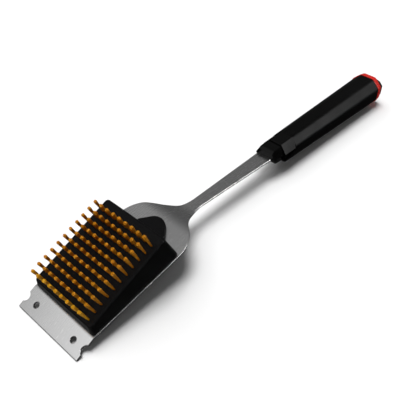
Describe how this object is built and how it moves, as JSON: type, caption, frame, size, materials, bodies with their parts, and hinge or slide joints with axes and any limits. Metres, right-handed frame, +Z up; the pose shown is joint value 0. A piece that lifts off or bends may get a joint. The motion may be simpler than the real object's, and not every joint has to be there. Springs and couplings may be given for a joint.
{
  "type": "grill cleaning brush",
  "caption": "Grill cleaning brush: bent stainless body with scraper blade and slim neck, wedge head with flared brass tufts and release tab, black handle with a red ring.",
  "frame": {"origin": "bounding box centre in plan, at ground level, with the brush lying tufts up on its blade edge and the handle's butt", "axes": "+X from the scraper blade towards the handle's butt, +Y to the left seen from the blade looking along +X, +Z up"},
  "size_m": [0.4572, 0.0722, 0.0662],
  "materials": {
    "blade_steel": "bright stainless sheet, fine brushed grain",
    "wedge_plastic": "black, fine moulded texture",
    "floor_plastic": "black, moulded",
    "tab_plastic": "black, satin",
    "screw_steel": "zinc-plated",
    "pin_steel": "ground",
    "spring_steel": "drawn wire",
    "staple_wire": "flat wire",
    "brass_wire": "bundles of crimped brass wire",
    "collar_gloss": "black, high gloss",
    "core_plastic": "black, moulded",
    "grip_satin": "black, satin moulded texture",
    "ring_red": "red, semi-gloss",
    "cap_plastic": "black, satin"
  },
  "bodies": {
    "steel_frame": {"steel_body": "blade_steel", "collar": "collar_gloss", "core_upper": "core_plastic", "core_lower": "core_plastic", "tang_screws": "screw_steel", "grip": "grip_satin", "accent_ring": "ring_red", "end_cap": "cap_plastic"},
    "brush_head": {"block_shell": "wedge_plastic", "block_base": "floor_plastic", "base_screws": "screw_steel", "tab_pin": "pin_steel", "tab_spring": "spring_steel", "anchor_staples": "staple_wire", "tuft_row_01": "brass_wire", "tuft_row_02": "brass_wire", "tuft_row_03": "brass_wire", "tuft_row_04": "brass_wire", "tuft_row_05": "brass_wire", "tuft_row_06": "brass_wire", "tuft_row_07": "brass_wire", "tuft_row_08": "brass_wire", "tuft_row_09": "brass_wire", "tuft_row_10": "brass_wire", "tuft_row_11": "brass_wire"},
    "release_tab": {"release_tab": "tab_plastic"}
  },
  "joints": [
    {"name": "head_slide", "type": "slide", "parent": "steel_frame", "child": "brush_head", "axis": [-0.9803, 0, -0.1977], "range_m": [0, 0.005]},
    {"name": "tab_lift", "type": "hinge", "parent": "brush_head", "child": "release_tab", "pos_m": [-0.13986, 0, 0.02943], "axis": [0, -1, 0], "range_deg": [0, 6], "stiffness_Nm_per_rad": 0.02, "deforming": ["tab_spring"]}
  ],
  "couplings": [
    {"joint": "tab_lift", "follows": "head_slide", "rad_per_m": 20.9}
  ]
}
